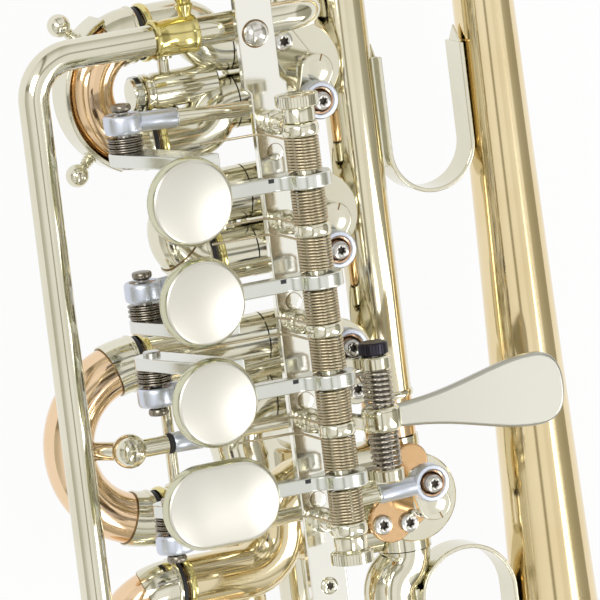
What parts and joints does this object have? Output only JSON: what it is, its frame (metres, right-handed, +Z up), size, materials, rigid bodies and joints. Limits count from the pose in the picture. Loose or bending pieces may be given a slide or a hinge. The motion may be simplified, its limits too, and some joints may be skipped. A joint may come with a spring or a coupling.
{
  "type": "rotary valve trumpet",
  "caption": "Trumpet with rotary valves in a row, levers with flat touchpieces on a sprung rack, ball-jointed links, a thumb trigger for a slide, hand rail, leadpipe, tuning slide and bell.",
  "frame": {"origin": "on the axis of the air tubes, in the row of the first valves, under the middle post of the lever rack", "axes": "+X along the bell towards its rim, +Y to the player's left towards the bell, +Z up towards the touchpieces"},
  "size_m": [0.4935, 0.1969, 0.1296],
  "materials": {
    "gold_brass": "polished, clear lacquer",
    "bell_brass": "polished, clear lacquer",
    "nickel_silver": "polished nickel silver",
    "yellow_brass": "polished",
    "silver_plate": "silver plated, soft polish",
    "steel": "satin",
    "spring_wire": "drawn wire"
  },
  "bodies": {
    "horn": {"bell": "bell_brass", "bell_bow": "gold_brass", "casing_1": "nickel_silver", "casing_2": "nickel_silver", "casing_3": "nickel_silver", "casing_4": "nickel_silver", "hand_rail": "nickel_silver", "hand_rail_sleeve": "yellow_brass", "knuckle_12": "gold_brass", "knuckle_23": "gold_brass", "leadpipe": "nickel_silver", "lever_rack": "nickel_silver", "lever_shaft": "nickel_silver", "lever_spring_1": "spring_wire", "lever_spring_2": "spring_wire", "lever_spring_3": "spring_wire", "lever_spring_4": "spring_wire", "mouthpiece_receiver": "nickel_silver", "slide_1_tubes": "nickel_silver", "slide_2_tubes": "nickel_silver", "slide_3_tubes": "nickel_silver", "slide_4_tubes": "nickel_silver", "strap_front": "nickel_silver", "strap_rear": "nickel_silver", "thumb_axle": "steel", "thumb_spring": "spring_wire", "tuning_outlet_tube": "gold_brass", "tuning_return_tube": "nickel_silver", "valve_cap_1": "nickel_silver", "valve_cap_2": "nickel_silver", "valve_cap_3": "nickel_silver", "valve_cap_4": "nickel_silver"},
    "lever_1": {"lever_1": "nickel_silver", "touchpiece_1": "silver_plate"},
    "link_1": {"link_1": "steel"},
    "rotor_1": {"rotor_1": "yellow_brass", "stop_arm_1": "nickel_silver"},
    "lever_2": {"lever_2": "nickel_silver", "touchpiece_2": "silver_plate"},
    "link_2": {"link_2": "steel"},
    "rotor_2": {"rotor_2": "yellow_brass", "stop_arm_2": "nickel_silver"},
    "lever_3": {"lever_3": "nickel_silver", "touchpiece_3": "silver_plate"},
    "link_3": {"link_3": "steel"},
    "rotor_3": {"rotor_3": "yellow_brass", "stop_arm_3": "nickel_silver"},
    "lever_4": {"lever_4": "nickel_silver", "touchpiece_4": "silver_plate"},
    "link_4": {"link_4": "steel"},
    "rotor_4": {"rotor_4": "yellow_brass", "stop_arm_4": "nickel_silver"},
    "slide_1": {"slide_1_bow": "gold_brass"},
    "slide_2": {"slide_2_bow": "nickel_silver"},
    "slide_3": {"slide_3_bow": "gold_brass", "trigger_rod": "nickel_silver"},
    "slide_4": {"slide_4_bow": "gold_brass"},
    "tuning_slide": {"main_tuning_slide": "gold_brass"},
    "thumb": {"thumb_lever": "silver_plate"}
  },
  "joints": [
    {"name": "lever_1_hinge", "type": "hinge", "parent": "horn", "child": "lever_1", "pos_m": [-0.036, -0.0184, 0.053], "axis": [1, 0, 0], "range_deg": [0, 18], "stiffness_Nm_per_rad": 0.08, "springref_deg": -28.65},
    {"name": "rotor_1_hinge", "type": "hinge", "parent": "horn", "child": "rotor_1", "pos_m": [-0.0559, 0, 0], "axis": [0, 0, 1], "range_deg": [0, 90]},
    {"name": "link_1_hinge", "type": "hinge", "parent": "lever_1", "child": "link_1", "pos_m": [-0.0525, -0.0524, 0.027], "axis": [-0.8682, 0.0486, 0.4939], "range_deg": [0, 8.71]},
    {"name": "lever_2_hinge", "type": "hinge", "parent": "horn", "child": "lever_2", "pos_m": [-0.012, -0.0184, 0.053], "axis": [1, 0, 0], "range_deg": [0, 18], "stiffness_Nm_per_rad": 0.08, "springref_deg": -28.65},
    {"name": "rotor_2_hinge", "type": "hinge", "parent": "horn", "child": "rotor_2", "pos_m": [-0.0198, 0, 0], "axis": [0, 0, 1], "range_deg": [0, 90]},
    {"name": "link_2_hinge", "type": "hinge", "parent": "lever_2", "child": "link_2", "pos_m": [-0.0123, -0.0524, 0.027], "axis": [-0.8666, -0.0228, 0.4985], "range_deg": [0, 8.69]},
    {"name": "lever_3_hinge", "type": "hinge", "parent": "horn", "child": "lever_3", "pos_m": [0.012, -0.0184, 0.053], "axis": [1, 0, 0], "range_deg": [0, 18], "stiffness_Nm_per_rad": 0.08, "springref_deg": -28.65},
    {"name": "rotor_3_hinge", "type": "hinge", "parent": "horn", "child": "rotor_3", "pos_m": [0.0163, 0, 0], "axis": [0, 0, -1], "range_deg": [0, 90]},
    {"name": "link_3_hinge", "type": "hinge", "parent": "lever_3", "child": "link_3", "pos_m": [0.013, -0.0524, 0.027], "axis": [-0.8681, -0.0503, -0.4937], "range_deg": [0, 8.71]},
    {"name": "lever_4_hinge", "type": "hinge", "parent": "horn", "child": "lever_4", "pos_m": [0.036, -0.0184, 0.053], "axis": [1, 0, 0], "range_deg": [0, 18], "stiffness_Nm_per_rad": 0.08, "springref_deg": -28.65},
    {"name": "rotor_4_hinge", "type": "hinge", "parent": "horn", "child": "rotor_4", "pos_m": [0.0524, 0.0166, 0], "axis": [0, 0, -1], "range_deg": [0, 90]},
    {"name": "link_4_hinge", "type": "hinge", "parent": "lever_4", "child": "link_4", "pos_m": [0.0486, -0.0524, 0.027], "axis": [-0.9539, -0.0343, -0.2981], "range_deg": [0, 10.75]},
    {"name": "slide_1_pull", "type": "slide", "parent": "horn", "child": "slide_1", "axis": [0, -1, 0], "range_m": [0, 0.008]},
    {"name": "slide_2_pull", "type": "slide", "parent": "horn", "child": "slide_2", "axis": [0, -1, 0], "range_m": [0, 0.008]},
    {"name": "slide_4_pull", "type": "slide", "parent": "horn", "child": "slide_4", "axis": [0, -1, 0], "range_m": [0, 0.008]},
    {"name": "tuning_slide_pull", "type": "slide", "parent": "horn", "child": "tuning_slide", "axis": [1, 0, 0], "range_m": [0, 0.028]},
    {"name": "thumb_hinge", "type": "hinge", "parent": "horn", "child": "thumb", "pos_m": [0.0264, -0.0011, 0.039], "axis": [-1, 0, 0], "range_deg": [0, 22], "stiffness_Nm_per_rad": 0.1, "springref_deg": -28.65},
    {"name": "slide_3_push", "type": "slide", "parent": "horn", "child": "slide_3", "axis": [0, -1, 0], "range_m": [0, 0.0116]}
  ],
  "couplings": [
    {"joint": "rotor_1_hinge", "follows": "lever_1_hinge", "ratio": 5},
    {"joint": "link_1_hinge", "follows": "lever_1_hinge", "ratio": 0.46705},
    {"joint": "rotor_2_hinge", "follows": "lever_2_hinge", "ratio": 5},
    {"joint": "link_2_hinge", "follows": "lever_2_hinge", "ratio": 0.46623},
    {"joint": "rotor_3_hinge", "follows": "lever_3_hinge", "ratio": 5},
    {"joint": "link_3_hinge", "follows": "lever_3_hinge", "ratio": 0.46702},
    {"joint": "rotor_4_hinge", "follows": "lever_4_hinge", "ratio": 5},
    {"joint": "link_4_hinge", "follows": "lever_4_hinge", "ratio": 0.58071},
    {"joint": "slide_3_push", "follows": "thumb_hinge", "m_per_rad": 0.02995}
  ]
}
